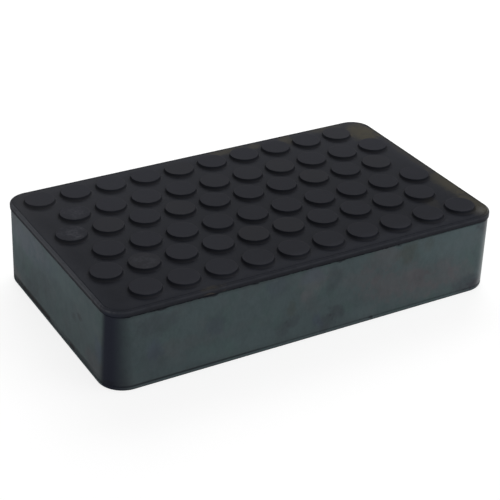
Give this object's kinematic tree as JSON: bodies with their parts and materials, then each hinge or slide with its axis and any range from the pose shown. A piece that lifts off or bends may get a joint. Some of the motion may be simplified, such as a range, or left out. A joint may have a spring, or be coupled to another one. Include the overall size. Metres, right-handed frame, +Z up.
{
  "type": "rubber jack pad",
  "caption": "Rectangular block of black rubber with rounded corners, a bead round its upper edge and staggered rows of low round studs on its top.",
  "frame": {"origin": "centre of the underside, on the surface that the pad rests on", "axes": "+X along the long side, +Y across the pad, +Z up through the studs"},
  "size_m": [0.2, 0.1178, 0.0416],
  "materials": {
    "rubber": "matt black moulded rubber, a little bloomed and dusty on the walls"
  },
  "bodies": {
    "root": {"jack_pad": "rubber"}
  },
  "joints": []
}
